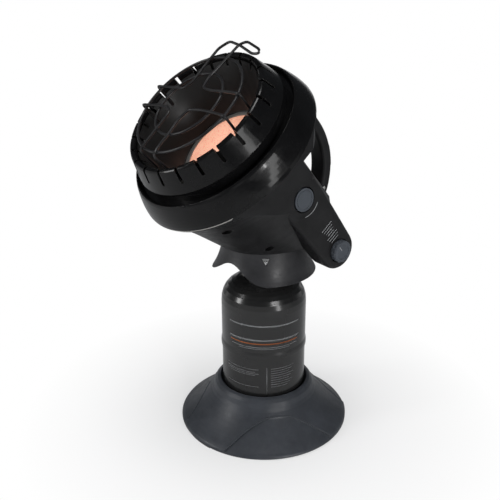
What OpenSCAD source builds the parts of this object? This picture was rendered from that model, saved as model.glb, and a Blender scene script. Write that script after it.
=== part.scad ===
// Portable propane heater: a round radiant head on a disposable gas cylinder that stands in a
// bell-shaped foot. Millimetres, +Z up, origin under the cylinder's axis on the ground. The head
// looks towards -Y and up; its control arm is on the +X side and its handle at the back.

/* [Foot] */
// Radius of the foot's rim
foot_r = 102; // [92:1:115]
// Height of the socket's lip above the ground
foot_h = 53; // [46:1:60]
// Wall of the foot's moulding
foot_wall = 3; // [2.4:0.2:4]
// Height of the socket's floor above the ground
socket_floor = 9; // [7:0.5:12]
// Number of lowered lens-shaped panels
panel_count = 3; // [2:1:4]
// How far each panel lies below the bell
panel_drop = 2.6; // [1.5:0.1:3.2]
// Turn of the foot about its axis
foot_turn = -26; // [-60:1:60]
// Height of the rubber pads
pad_h = 1.6; // [1:0.1:2.4]

/* [Cylinder] */
// Outer diameter of the cylinder
tank_d = 100; // [96:1:104]
// Height of the cylinder's straight wall above its own bottom
tank_wall_h = 147; // [135:1:158]
// Height of the domed shoulder
tank_dome_h = 29; // [26:0.5:32]
// Steel thickness
tank_t = 1; // [0.8:0.1:1.6]
// Height of the seam bead above the cylinder's bottom
bead_z = 92; // [70:1:105]
// Diameter of the valve's thread
thread_d = 25.4; // [24.4:0.2:26]
// Length of the valve's thread
thread_h = 16; // [13:0.5:18]

/* [Collar] */
// Radius of the collar where it meets the housing
collar_top_r = 48; // [45:0.5:50]
// Radius of the collar's lower edge
collar_low_r = 60; // [57:0.5:66]
// Height of the collar's petals
collar_h = 34.5; // [28:0.5:38]
// Height of the arches between the petals
arch_h = 18.5; // [14:0.5:25]
// Wall of the collar
collar_wall = 2.6; // [2:0.2:3.4]

/* [Head] */
// Angle of the head's axis above the horizontal
head_tilt = 50; // [48:0.5:54]
// Distance from the cylinder's axis forward to the middle of the head's front
head_reach = 90; // [88:0.5:94]
// Height of the middle of the head's front above the valve's top
head_rise = 186; // [184:0.5:189]
// Radius of the ring's rounded nose, middle of the roll
nose_r = 77; // [74:0.5:79]
// Radius of the nose's roll
nose_roll = 3.4; // [2.8:0.1:4]
// Outer radius of the ring's lower edge
ring_low_r = 88; // [86:0.5:89]
// Depth of the ring
ring_depth = 25.5; // [23:0.5:27]
// Radius of the shroud's front rim
shroud_front_r = 95.5; // [94:0.5:97]
// Radius of the shroud's back edge
shroud_back_r = 106; // [104:0.5:108]
// Depth of the shroud's front rim behind the nose
shroud_front_s = 33; // [31:0.5:34]
// Depth of the shroud's back edge behind the nose
shroud_back_s = 59; // [57:0.5:61]
// Sheet thickness of the ring, the bowl and the shroud
sheet_t = 1.2; // [1:0.1:1.6]
// Number of slots round the ring
slot_count = 22; // [16:1:24]
// Width of a slot
slot_w = 3.6; // [3:0.1:4.4]
// How far a slot runs back from the nose
slot_depth = 15; // [11:0.5:17]

/* [Burner] */
// Radius of the ceramic tile
tile_r = 48; // [45:0.5:50]
// Thickness of the ceramic tile
tile_t = 11; // [9:0.5:13]
// Depth of the tile's face behind the nose
tile_s = 60; // [58:0.5:62]
// Depth of the burner cup
cup_h = 30; // [27:0.5:33]
// Throat radius of the mixing tube
throat_r = 8; // [7:0.5:9]

/* [Housing] */
// Wall of the housing's moulding
shell_wall = 3; // [2.4:0.2:3.6]
// Distance of the control arm's face from the middle plane
arm_face = 80; // [79:0.5:83]
// Radius of the control arm's end round the button
arm_r = 26; // [24:0.5:28]
// Radius of the control arm's end round the knob
arm_tip_r = 22.3; // [20:0.1:24]
// Slope of the control arm against the head's axis
arm_droop = 2.4; // [1:0.1:5]
// Width of the handle
handle_w = 24; // [20:0.5:28]
// Thickness of the handle
handle_t = 13; // [11:0.5:15]
// Radius of the handle's bend, middle of the bar
handle_r = 79.5; // [77:0.5:82]

/* [Controls] */
// Diameter of the igniter button
button_d = 25; // [22:0.5:28]
// Travel of the igniter button
button_travel = 5; // [4:0.5:6]
// Distance along the arm from the button's axis to the knob's
knob_far = 87.5; // [84:0.5:92]
// Diameter of the knob
knob_d = 25; // [22:0.5:28]
// Height of the knob
knob_h = 6.5; // [6:0.5:10]
// Travel of the knob when pushed in
knob_travel = 3; // [2:0.5:3.5]

/* [Guard] */
// Diameter of the guard's wire
wire_d = 2.8; // [2.4:0.2:3.4]
// How far the cross stands in front of the nose
guard_s = 11.4; // [10:0.2:15]
// Radius of the guard's inner ring
guard_in_r = 40; // [36:0.5:44]
// Radius of the guard's outer ring
guard_out_r = 62; // [58:0.5:64]

/* [Hidden] */
$fn = 64;

gap = 0.3;             // clearance between separate moulded pieces that slide or sit loosely
fit = 0.05;            // radial running clearance of a shaft in its bore
thin = 0.4;            // overlap that keeps cuts and unions clean
plastic = [0.16, 0.17, 0.18];
gloss = [0.06, 0.06, 0.07];
slate = [0.30, 0.31, 0.33];
steel = [0.62, 0.62, 0.62];
brass = [0.72, 0.58, 0.28];

// ---- small tools ----
function point_arc(c, r, a0, a1, n = 6) =
  [for (i = [0:n]) let (a = a0 + (a1 - a0) * i / n) c + r * [cos(a), sin(a)]];
function curve(a, b, c, d, n = 10) =
  [for (i = [0:n]) let (t = i / n, u = 1 - t)
    u * u * u * a + 3 * u * u * t * b + 3 * u * t * t * c + t * t * t * d];
function reversed(p) = [for (i = [len(p) - 1:-1:0]) p[i]];
function unit(v) = v / norm(v);
function left_of(v) = [-v[1], v[0]];
// The points of p moved sideways by t, to the left of the direction of travel
function beside(p, t) = [for (i = [0:len(p) - 1])
  let (a = p[max(i - 1, 0)], b = p[i], c = p[min(i + 1, len(p) - 1)],
       m = left_of(unit(unit(b - a + (i == 0 ? c - b : [0, 0])) +
                        unit(c - b + (i == len(p) - 1 ? b - a : [0, 0])))),
       k = left_of(unit(i == 0 ? c - b : b - a)) * m)
  b + m * t / max(k, 0.5)];
module sheet(p, t) polygon(concat(p, reversed(beside(p, t))));
module turned(p) rotate_extrude($fn = 128) polygon(p);
module turned_sheet(p, t) rotate_extrude($fn = 128) sheet(p, t);
module pipe(r_out, r_in, h) difference() {
  cylinder(r = r_out, h = h);
  translate([0, 0, -thin]) cylinder(r = r_in, h = h + 2 * thin);
}
module along_x(x0, x1, r) translate([x0, 0, 0]) rotate([0, 90, 0]) cylinder(r = r, h = x1 - x0);

// A round bar swept along points, its section turning as little as it can
function run_dir(p, i) = unit(unit(p[i] - p[max(i - 1, 0)] + (i == 0 ? p[1] - p[0] : [0, 0, 0])) +
  unit(p[min(i + 1, len(p) - 1)] - p[i] + (i == len(p) - 1 ? p[i] - p[i - 1] : [0, 0, 0])));
function side_dirs(p, i, s) = i == len(p) ? [] :
  let (d = run_dir(p, i), n = unit(s - (s * d) * d)) concat([n], side_dirs(p, i + 1, n));
module bar(p, r, sides = 8, first = [0.3, 0.2, 1]) {
  count = len(p);
  dirs = side_dirs(p, 0, first);
  ring = [for (i = [0:count - 1]) let (d = run_dir(p, i), n = dirs[i], b = cross(d, n))
    for (j = [0:sides - 1]) let (a = 360 * j / sides) p[i] + r * (cos(a) * n + sin(a) * b)];
  skin = [for (i = [0:count - 2], j = [0:sides - 1])
    let (k = (j + 1) % sides, a = i * sides, b = a + sides) each [
      [a + j, a + k, b + k], [a + j, b + k, b + j]]];
  ends = [for (j = [1:sides - 2]) each [[0, j + 1, j],
    [(count - 1) * sides, (count - 1) * sides + j, (count - 1) * sides + j + 1]]];
  polyhedron(points = ring, faces = [for (f = concat(skin, ends)) reversed(f)], convexity = 8);
}
// Points with each inner corner rounded by an arc-like curve that starts r before it
function soft_corners(p, r, n = 4) = concat([p[0]], [for (i = [1:len(p) - 2])
  let (a = p[i] + unit(p[i - 1] - p[i]) * r, c = p[i] + unit(p[i + 1] - p[i]) * r)
  for (j = [0:n]) let (t = j / n, u = 1 - t) u * u * a + 2 * u * t * p[i] + t * t * c],
  [p[len(p) - 1]]);
module coil(r, h, turns, wire) {
  steps = 8 * turns;
  bar([for (i = [0:steps]) [r * cos(45 * i), r * sin(45 * i), wire / 2 + (h - wire) * i / steps]],
      wire / 2, 6, [0, 0, 1]);
}

// ---- places ----
tank_r = tank_d / 2;
tank_top = socket_floor + tank_wall_h + tank_dome_h;   // top of the dome
valve_top = tank_top + 4 + thread_h;                   // top of the valve's thread
collar_z = valve_top + 27;                             // plane where collar and housing meet
collar_low = collar_z - collar_h;
head_z = valve_top + head_rise;
// Head frame: x to the side, y up across the face, z outwards along the head's axis
module head() translate([0, -head_reach, head_z]) rotate([90 - head_tilt, 0, 0]) children();
module unhead() rotate([head_tilt - 90, 0, 0]) translate([0, head_reach, -head_z]) children();
button_s = 119.5;
button_v = 2.4;
button_well = button_d / 2 + 1.5;
module arm_frame() translate([0, button_v, -button_s]) rotate([-arm_droop, 0, 0]) children();
arm_back = arm_face - 24;                              // inner side of the control arm
knob_back = arm_face - 0.7;
cock_front = knob_back - 2 * knob_travel - gap;        // clear of the knob's sleeve when pushed in
cock_back = cock_front - 13;
cock_x = (cock_front + cock_back) / 2;                 // middle of the gas cock

// ---- foot ----
low_r = tank_r - 0.3;                                  // the cylinder's lower half is a little slimmer
socket_r = low_r + gap;
lip_r = tank_r + 7.3;
pad_arc = 18;
pad_inset = 0.8;                                        // distance of a pad from the rim's outer edge
post_r = 14;                                            // post under the middle of the floor
function foot_flare(drop) = curve([lip_r + 10.5, foot_h - 18.5 - drop],
  [lip_r + 20, foot_h - 29 - drop], [foot_r - 14, 15.5 - drop], [foot_r - 4, 9 - drop], 7);
function foot_outline(drop) = concat(
  [[lip_r - 4, foot_h], [lip_r - 1, foot_h - 1.6], [lip_r + 2, foot_h - 5],
   [lip_r + 4.4, foot_h - 10.5], [lip_r + 7, foot_h - 14.5 - drop / 2]],
  foot_flare(drop), [[foot_r - 1.2, 6.8 - drop]]);
foot_inside = beside(foot_flare(0), -foot_wall);
module foot() color(slate) difference() {
  turned(concat(
    [[0, socket_floor], [socket_r, socket_floor], [socket_r, foot_h - 5],
     [socket_r + 1.2, foot_h - 1.6], [socket_r + 2.8, foot_h]],
    foot_outline(0), [[foot_r, 5], [foot_r, pad_h], [foot_r - foot_wall, pad_h]],
    reversed(foot_inside),
    [[socket_r + foot_wall, foot_h - 14.5 - foot_wall], [socket_r + foot_wall, pad_h],
     [socket_r - 2, pad_h], [socket_r - 2, socket_floor - foot_wall],
     [post_r, socket_floor - foot_wall], [post_r, pad_h], [0, pad_h]]));
  rotate([0, 0, foot_turn]) for (i = [0:panel_count - 1]) rotate([0, 0, i * 360 / panel_count])
    intersection() {
      translate([foot_r * 2.29, 0, -1]) cylinder(r = foot_r * 1.64, h = foot_h, $fn = 128);
      turned(concat(foot_outline(panel_drop),
        [[foot_r + 0.6, 4.1 - panel_drop], [foot_r + 9, 5], [foot_r + 9, foot_h],
         [lip_r, foot_h + 5]]));
    }
}
module foot_ribs() color(slate) for (i = [0:2 * panel_count - 1])
  rotate([0, 0, foot_turn + (i + 0.5) * 180 / panel_count]) rotate([90, 0, 0])
    translate([0, 0, -foot_wall / 3]) linear_extrude(foot_wall / 1.5)
      polygon(concat([[socket_r + foot_wall, pad_h * 2],
        [socket_r + foot_wall, foot_h - 14.5 - foot_wall - panel_drop]],
        [for (p = foot_inside) p - [0, panel_drop]]));
module foot_pads() color(gloss) {
  cylinder(r = post_r, h = pad_h);
  rotate([0, 0, foot_turn + 180 / panel_count]) for (i = [0:panel_count - 1])
    rotate([0, 0, i * 360 / panel_count - pad_arc / 2])
      rotate_extrude(angle = pad_arc, $fn = 128) translate([foot_r - foot_wall, 0])
        square([foot_wall - pad_inset, pad_h]);
}

// ---- cylinder ----
ring_h = 4;
boss_r = 11.5;
thread_r = thread_d / 2;
core_r = 5;
pin_r = 2;
relief_at = [26, 0];
relief_r = 4;
module tank_lower_cup() color(gloss) translate([0, 0, socket_floor]) turned_sheet(concat(
  [[0, ring_h + 4], [16, ring_h + 3], [28, ring_h], [36, ring_h]],
  point_arc([low_r - 12, ring_h + 12], 12, -90, 0, 6),
  [[low_r, bead_z - 1], [low_r + 0.1, bead_z + 4]]), tank_t);
module tank_upper_cup() color(gloss) translate([0, 0, socket_floor]) difference() {
  turned_sheet(concat(
    [[tank_r + 0.8, bead_z - 1], [tank_r + 1, bead_z + 2], [tank_r + 0.8, bead_z + 5],
     [tank_r, bead_z + 8.5]],
    curve([tank_r, tank_wall_h], [tank_r, tank_wall_h + tank_dome_h * 0.62],
      [tank_r * 0.78, tank_wall_h + tank_dome_h], [18, tank_wall_h + tank_dome_h], 8),
    [[boss_r + fit, tank_wall_h + tank_dome_h]]), tank_t);
  relief_place() translate([0, 0, -20]) cylinder(r = relief_r + fit, h = 40);
}
module relief_place() rotate([0, 0, 200]) translate([relief_at[0], 0, tank_wall_h + tank_dome_h])
  children();
module tank_foot_ring() color(gloss) translate([0, 0, socket_floor]) pipe(35, 33, ring_h);
module valve_body() color(steel) turned([
  [pin_r + fit, tank_top - 6], [boss_r, tank_top - 6], [boss_r, tank_top], [17, tank_top],
  [17, tank_top + 4], [thread_r, tank_top + 4], [thread_r, valve_top - 1],
  [thread_r - 1, valve_top], [core_r, valve_top], [core_r, tank_top - 2],
  [pin_r + fit, tank_top - 2]]);
module valve_core() color(brass) turned([
  [0, tank_top - 8], [4, tank_top - 8], [4, tank_top - 6], [pin_r, tank_top - 6],
  [pin_r, tank_top + 9], [core_r - fit, tank_top + 9], [core_r - fit, tank_top + 11],
  [pin_r, tank_top + 11], [pin_r, valve_top - 2], [0, valve_top - 2]]);
module core_spring() color(steel) translate([0, 0, tank_top - 2]) coil(3.4, 11, 5, 0.8);
module relief_valve() color(steel) translate([0, 0, socket_floor]) relief_place() {
  translate([0, 0, -12]) cylinder(r = relief_r, h = 13);
  translate([0, 0, 0.6]) cylinder(r = relief_r + 1.4, h = 4, $fn = 6);
}

// ---- collar ----
outlet_r = 9;
arch_half = 42;
arch_turn = 7;                                          // where the collar's thread comes to rest
module collar() color(plastic) difference() {
  union() {
    turned_sheet(curve([collar_top_r, collar_z], [collar_top_r + 1.5, collar_z - 12],
      [collar_low_r - 7, collar_low + 11], [collar_low_r, collar_low], 8), -collar_wall);
    translate([0, 0, collar_z - collar_wall])
      pipe(collar_top_r - 0.5, outlet_r + fit, collar_wall);
  }
  // arches between the two petals, front and back
  rotate([90, 0, arch_turn]) translate([0, collar_low, -90]) linear_extrude(180)
    polygon(concat([[-arch_half, -6]],
      curve([-arch_half, 0], [-22, 4], [-13, arch_h], [0, arch_h], 8),
      curve([0, arch_h], [13, arch_h], [22, 4], [arch_half, 0], 8), [[arch_half, -6]]));
  // a latch notch near the top of each petal
  for (a = [-36, 144]) rotate([0, 0, a]) translate([collar_top_r - 8, 0, collar_z - 8])
    rotate([0, 90, 0]) cylinder(r = 5.5, h = 14, $fn = 3);
}

// ---- gas way ----
pipe_r = 3;
module regulator() color(steel) difference() {
  turned([[0, valve_top + 2.4], [0, collar_z + 10], [outlet_r, collar_z + 10],
    [outlet_r, collar_z - collar_wall], [22, collar_z - collar_wall], [22, valve_top + 8],
    [18, valve_top + 5], [18, tank_top + 5], [thread_r + fit, tank_top + 5],
    [thread_r + fit, valve_top + 2.4]]);
  translate([0, 0, collar_z + 2]) cylinder(r = pipe_r + fit, h = 10);
}
module inlet_seal() color(gloss) translate([0, 0, valve_top + gap])
  pipe(thread_r, pin_r + 1, 2.4 - gap);
// The world's point p in the head's frame
function in_head(p) = let (c = cos(90 - head_tilt), s = sin(90 - head_tilt),
  y = p[1] + head_reach, z = p[2] - head_z) [p[0], y * c + z * s, z * c - y * s];
knob_v = button_v - knob_far * sin(arm_droop);
knob_z = -button_s - knob_far * cos(arm_droop);
cock_r = 9;
jet_s = 178;
jet_r = 6.5;
jet_z = -jet_s - 5;                                    // height of the pipe's joint with the jet
module gas_pipe() color(brass) head() {
  // supply, from the regulator to the cock
  bar(soft_corners([in_head([0, 0, collar_z + 4]), in_head([0, 0, collar_z + 16]),
    [40, -17, -154], [cock_x, knob_v - 14, -160], [cock_x, knob_v - 14, knob_z],
    [cock_x, knob_v - cock_r + 1, knob_z]], 4), pipe_r, 12);
  // feed, from the cock to the jet
  bar(soft_corners([[cock_x, knob_v, knob_z + cock_r - 1], [cock_x, knob_v, -168],
    [50, 0, -164], [30, 0, jet_z], [jet_r * cos(30) + 0.1, 0, jet_z]], 4), pipe_r, 12);
}
module jet() color(brass) head() difference() {
  union() {
    translate([0, 0, -jet_s - 10.5]) rotate([0, 0, 30]) cylinder(r = jet_r, h = 9, $fn = 6);
    translate([0, 0, -jet_s - 2]) cylinder(r = 3.4, h = 5);
  }
  translate([0, 0, -jet_s - 6]) cylinder(r = 0.8, h = 12, $fn = 16);
}
tube_end = 172;
tube_mouth = 12;
module jet_bracket() color(steel) head() {
  translate([0, 0, -tube_end - 1.5]) pipe(tube_mouth + 4, 10, 1.5);
  for (a = [90, 270]) rotate([0, 0, a]) translate([tube_mouth + 2.8, -4, -jet_s - 1.5])
    cube([1.2, 8, jet_s - tube_end]);
  translate([0, 0, -jet_s - 1.5]) intersection() {
    pipe(tube_mouth + 4, 3.4 + fit, 1.5);
    translate([-5, -30, -1]) cube([10, 60, 4]);
  }
}

// ---- burner ----
cup_r = tile_r + 2.8;
cup_end = tile_s + cup_h;
module mixing_tube() color(steel) head() turned_sheet(concat(
  [[14, -cup_end + 4]], curve([14, -cup_end - 1], [9, -cup_end - 10],
    [throat_r, -cup_end - 14], [throat_r, -cup_end - 26], 5),
  curve([throat_r, -cup_end - 50], [throat_r, -tube_end + 18],
    [tube_mouth - 2, -tube_end + 8], [tube_mouth, -tube_end], 5)), 1.2);
module burner_cup() color(steel) head() difference() {
  turned_sheet([[cup_r + 6, -plate_back - sheet_t], [cup_r, -plate_back - sheet_t],
    [cup_r, -cup_end + 12], [cup_r - 10, -cup_end + 2], [cup_r - 16, -cup_end],
    [15.2 + fit, -cup_end]], -sheet_t);
  probe_holes();
}
module tile_gasket() color(slate) head() translate([0, 0, -tile_s - tile_t - 1])
  pipe(cup_r - sheet_t - fit, tile_r + fit, tile_t + 0.6);
module burner_tile() color([0.93, 0.62, 0.42]) head() translate([0, 0, -tile_s - tile_t])
  cylinder(r = tile_r, h = tile_t, $fn = 128);
module tile_retainer() color(steel) head() translate([0, 0, -tile_s]) pipe(plate_hole - fit, 46, 0.8);

// ---- head's sheet metal ----
plate_s = shroud_back_s + 0.5;
plate_back = plate_s + sheet_t;
plate_hole = tile_r + 3.2;
groove_s = shroud_front_s + 5;
bowl_back_r = plate_hole + 0.2;
module back_plate() color(steel) head() difference() {
  translate([0, 0, -plate_back]) pipe(shroud_back_r, plate_hole, sheet_t);
  for (a = plate_spots) rotate([0, 0, a]) translate([plate_screw_r, 0, -plate_back - thin])
    cylinder(r = screw_r + fit, h = 4);
  probe_holes();
  translate([arm_face + gap, -150, -300]) cube([99, 300, 250]);
}
module shroud() color(plastic) head() turned_sheet(concat(
  [[84, -groove_s], [shroud_front_r - 3.5, -groove_s],
   [shroud_front_r - 2, -groove_s + 2.5], [shroud_front_r - 0.8, -shroud_front_s - 0.4],
   [shroud_front_r + 0.4, -shroud_front_s], [shroud_front_r + 1.6, -shroud_front_s - 1.4]],
  curve([shroud_front_r + 2.6, -shroud_front_s - 3], [shroud_front_r + 5.5, -shroud_front_s - 9],
    [shroud_back_r - 1, -shroud_back_s + 7], [shroud_back_r, -plate_s + 0.2], 6)), -sheet_t);
module front_ring() color(plastic) head() difference() {
  turned_sheet(concat([[nose_r - nose_roll, -5.5]],
    point_arc([nose_r, -nose_roll], nose_roll, 180, 20, 7),
    [[nose_r + 4.2, -5], [ring_low_r - 0.4, -ring_depth + 1.5], [ring_low_r, -ring_depth + 0.5],
     [ring_low_r - 0.8, -ring_depth], [ring_low_r - 3, -ring_depth - 0.6],
     [ring_low_r - 3, -groove_s]]), -sheet_t);
  slots(nose_r - 8, ring_low_r, slot_depth);
}
// Slots round the head, open towards the front
module slots(from, to, depth) for (i = [0:slot_count - 1])
  rotate([0, 0, -90 + i * 360 / slot_count]) translate([from, 0, -depth + slot_w / 2]) {
    translate([0, -slot_w / 2, 0]) cube([to - from, slot_w, depth]);
    rotate([0, 90, 0]) cylinder(r = slot_w / 2, h = to - from, $fn = 24);
  }
module reflector() color(gloss) head() difference() {
  turned_sheet(concat([[bowl_back_r + 4, -plate_s], [bowl_back_r, -plate_s]],
    reversed(curve([nose_r - nose_roll - 0.1 - sheet_t, -4.5], [69 - sheet_t, -12],
      [60 - sheet_t, -36], [bowl_back_r, -plate_s + 2], 9))), -sheet_t);
  probe_holes();
  slots(nose_r - 14, nose_r, slot_depth - 4);
}
plate_spots = [45, 135, 225, 315];
plate_screw_r = shroud_back_r - 12;
module plate_screws() color(steel) head() for (a = plate_spots) rotate([0, 0, a])
  translate([plate_screw_r, 0, -plate_s - 9]) screw(9);
module screw(length) {
  cylinder(r = screw_r, h = length + thin);
  difference() {
    translate([0, 0, length]) cylinder(r = 3.3, h = 2);
    translate([0, 0, length + 2]) cube([4, 0.9, 2.2], center = true);
    translate([0, 0, length + 2]) cube([0.9, 4, 2.2], center = true);
  }
}
probe_r = 3;
probe_at = plate_hole + 5;
module probe(turn) rotate([0, 0, turn]) translate([probe_at, 0, 0]) children();
module probe_holes() for (a = [12, -32]) probe(a) translate([0, 0, -90])
  cylinder(r = probe_r + fit, h = 60);
module electrode() color([0.9, 0.9, 0.87]) head() probe(12) {
  translate([0, 0, -80]) cylinder(r = probe_r, h = 34);
  bar(soft_corners([[0, 0, -47], [0, 0, -40], [-14, 0, -50]], 3), 0.7, 6);
}
module thermocouple() color(brass) head() probe(-32) {
  translate([0, 0, -80]) cylinder(r = probe_r, h = 30);
  bar(soft_corners([[0, 0, -51], [0, 0, -44], [-15, 0, -54]], 3), 1.1, 8);
}

// ---- housing ----
screw_r = 1.7;
bell_r = shroud_back_r - 2;
bell_end = plate_back + 151;
bell_tail = [bell_r - 46, -bell_end + 22];
bell_side = concat([[bell_r, -plate_back]],
  curve([bell_r, -plate_back - 3.5], [bell_r - 19, -plate_back - 23],
        [bell_r - 21, -plate_back - 67], bell_tail, 12));
bell_back = curve(bell_tail, bell_tail + [-6, -13], [24, -bell_end], [0, -bell_end], 6);
bell_line = concat(bell_side, [for (i = [1:len(bell_back) - 1]) bell_back[i]]);
// The bell as a solid, its skin moved inwards; the inner one starts ahead of the front edge
module bell(inset) {
  line = beside(bell_line, -inset);
  front = -plate_back + (inset > 0 ? thin : 0);
  turned(concat([[0, front], [line[0][0], front]], [for (i = [1:len(line) - 2]) line[i]],
    [[0, -bell_end + inset]]));
}
// Finger room under the handle, on top of the bell
scoop_s = plate_back + 23;
scoop_len = 107;
roof_v = 64;
roof_slope = 25;                                       // fall of the bell's back to either side
module scoop(grow) {
  translate([-120, 0, 0]) rotate([90, 0, 90]) linear_extrude(240)
    polygon(concat([[130, -scoop_s + grow]],
      curve([95 - grow, -scoop_s + grow], [66 - grow, -scoop_s - 6 + grow],
        [58 - grow, -scoop_s - 21 + grow], [54 - grow, -scoop_s - 41], 8),
      curve([48 - grow, -scoop_s - 80], [44 - grow, -scoop_s - scoop_len + 7],
        [47 - grow, -scoop_s - scoop_len + 1 - grow],
        [64 - grow, -scoop_s - scoop_len - grow], 5),
      [[130, -scoop_s - scoop_len - grow]]));
  for (m = [0, 1]) mirror([m, 0, 0]) translate([0, 0, -scoop_s - scoop_len + 1 - grow])
    linear_extrude(scoop_len - 4 + 2 * grow) translate([0, roof_v - grow / cos(roof_slope)])
      polygon([[-1, 0], [0, 0], [140, -140 * tan(roof_slope)], [140, 120], [-1, 120]]);
}
// The control arm on the right side, in its own frame: x across, z along
arm_turn = asin((arm_r - arm_tip_r) / knob_far);       // slope of each edge against the arm's middle
arm_edge = knob_far * cos(arm_turn);
// Outline of half the arm's section, across at x0, over the edge and down to x1
function arm_section(half, x0, x1, soft) = concat([[x0, half]],
  point_arc([x1 - soft, half - soft], soft, 90, 0, 4));
lap = 0.1;                                             // step between the arm's ends and its edges
module arm_block(inset) arm_frame() {
  x0 = arm_back + inset;
  x1 = arm_face - inset;
  soft = 5 - inset / 2;
  for (m = [0, 1]) mirror([0, m, 0]) rotate([-arm_turn, 0, 0]) translate([0, 0, -arm_edge])
    linear_extrude(arm_edge) polygon(concat(
      arm_section(arm_r - inset + lap, x0 + lap, x1 - lap, soft), [[x1 - lap, 0], [x0 + lap, 0]]));
  arm_disc(arm_section(arm_r - inset, x0, x1, soft), x0, x1);
  translate([0, 0, -knob_far]) arm_disc(arm_section(arm_tip_r - inset, x0, x1, soft), x0, x1);
}
module arm_disc(edge, x0, x1) rotate([0, 90, 0]) rotate_extrude($fn = 96)
  polygon(concat([[0, x0]], [for (p = edge) [p[1], p[0]]], [[0, x1]]));
knob_well = knob_d / 2 + 1;
module arm_bosses() arm_frame() {
  along_x(58, arm_face, button_well + 2);
  translate([0, 0, -knob_far]) along_x(cock_front, arm_face, knob_well + 2.5);
}
module above_collar(drop) unhead() translate([-150, -150, collar_z - drop]) cube([300, 300, 300]);
module clip_right(x) translate([x, -150, -300]) cube([99, 300, 350]);
screw_spots = [[31 - bell_r, -89], [bell_r - 57, -100], [53 - bell_r, -150]];
post_reach = bell_r - 34;
module cavity(side) difference() {
  union() {
    difference() {
      intersection() {
        bell(shell_wall);
        above_collar(1);
      }
      scoop(shell_wall);
      clip_right(arm_face - shell_wall);
    }
    if (side > 0) arm_block(shell_wall);
  }
  if (side > 0) arm_bosses();
  for (p = screw_spots) translate([0, p[0], p[1]]) along_x(-post_reach, post_reach, 5.5);
  for (a = plate_spots) rotate([0, 0, a]) translate([plate_screw_r, 0, -plate_back - 14])
    cylinder(r = 4.5, h = 15);
}
module housing_half(side) difference() {
  union() {
    difference() {
      intersection() {
        bell(0);
        above_collar(0);
      }
      scoop(0);
      clip_right(arm_face);
    }
    if (side > 0) arm_block(0);
  }
  cavity(side);
  translate([side > 0 ? -200 : 0, -200, -400]) cube([200, 400, 500]);
  if (side > 0) arm_frame() {
    along_x(64.5, arm_face + 1, button_well);
    along_x(50, 66, igniter_r + fit);
    translate([0, 0, -knob_far]) {
      along_x(knob_back - knob_travel - gap, arm_face + 1, knob_well);
      along_x(cock_front - 2, arm_face, 6);
    }
  }
  for (p = screw_spots) translate([0, p[0], p[1]]) {
    along_x(-14, 20, screw_r + fit);
    if (side > 0) along_x(16, 120, 4);
  }
  for (a = plate_spots) rotate([0, 0, a]) translate([plate_screw_r, 0, -plate_back - 9])
    cylinder(r = screw_r + fit, h = 14);
}
module housing_left() color(plastic) head() housing_half(-1);
module housing_right() color(plastic) head() housing_half(1);
module housing_screws() color(steel) head() for (p = screw_spots)
  translate([-13, p[0], p[1]]) rotate([0, 90, 0]) screw(29);

// ---- handle ----
handle_screw_turn = 31;
handle_foot = [58.4455, -197.1448];                    // where the bend meets its screw
handle_y = handle_foot[0] - handle_r * sin(handle_screw_turn);
handle_z = handle_foot[1] + handle_r * cos(handle_screw_turn);
handle_tip = 16;                                       // angle where the bend ends in the bell
grip_from = 51;
grip_to = 68;
module handle_shape() {
  w = handle_w / 2;
  t = handle_t / 2;
  polygon(concat(point_arc([t - 4, w - 4], 4, 0, 90, 3), point_arc([-t + 4, w - 4], 4, 90, 180, 3),
    point_arc([-t + 4, -w + 4], 4, 180, 270, 3), point_arc([t - 4, -w + 4], 4, 270, 360, 3)));
}
module handle_turn(a0, a1) translate([0, handle_y, handle_z]) rotate([0, 90, 0])
  rotate([0, 0, a0]) rotate_extrude(angle = a1 - a0, $fn = 128) translate([handle_r, 0]) children();
module handle_side() translate([0, handle_y + handle_r * sin(handle_screw_turn),
  handle_z - handle_r * cos(handle_screw_turn)]) children();
module handle() color(plastic) head() difference() {
  union() {
    handle_turn(handle_tip, 90) handle_shape();
    translate([0, handle_y + handle_r, handle_z])
      linear_extrude(-handle_z - plate_back - gap) rotate([0, 0, 90]) handle_shape();
    translate([-handle_w / 3, handle_y + handle_r - handle_t / 4, handle_z - 2])
      cube([handle_w / 1.5, handle_t / 2, 4]);
  }
  difference() {
    bell(0);
    scoop(0);
  }
  handle_turn(grip_from, grip_to) translate([handle_t / 2 - 1.4, -handle_w])
    square([4, 2 * handle_w]);
  handle_side() {
    along_x(-8, handle_w, screw_r + fit);
    along_x(handle_w / 2 - 4, handle_w, 3.8);
  }
}
module handle_grip() color(gloss) head() handle_turn(grip_from + 0.2, grip_to - 0.2)
  translate([handle_t / 2 - 1.4, 0]) polygon([[0, -handle_w / 2 + 1], [0, handle_w / 2 - 1],
    [0.9, handle_w / 2 - 1.6], [1.4, handle_w / 2 - 4], [1.4, -handle_w / 2 + 4],
    [0.9, -handle_w / 2 + 1.6]]);
module handle_screws() color(steel) head() handle_side() translate([-7, 0, 0])
  rotate([0, 90, 0]) screw(handle_w / 2 + 3);

// ---- igniter and button ----
igniter_r = 8;
stem_r = 4.5;
button_front = arm_face + 0.5;
step_x = 54;
seat_x = step_x - 11 - button_travel;                  // seat of the button's spring
module igniter() color(slate) head() arm_frame() difference() {
  union() {
    along_x(30, 70, igniter_r);
    along_x(56, 58, igniter_r + 3);
  }
  along_x(step_x - thin, 71, stem_r + fit);
  along_x(seat_x, step_x, stem_r + 1.5);
}
module button() color(slate) head() arm_frame() {
  difference() {
    along_x(button_front - 4, button_front, button_d / 2);
    translate([button_front - 0.5, 0, 0]) rotate([0, 90, 0])
      pipe(button_d / 2 - 2.2, button_d / 2 - 2.8, 1);
  }
  along_x(step_x - 2, button_front - 3, stem_r);
  along_x(step_x - 2.5, step_x - 0.1, stem_r + 1.2);
}
module button_spring() color(steel) head() arm_frame() translate([seat_x, 0, 0])
  rotate([0, 90, 0]) coil(4.2, step_x - 2.5 - seat_x, 5, 1);

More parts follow.
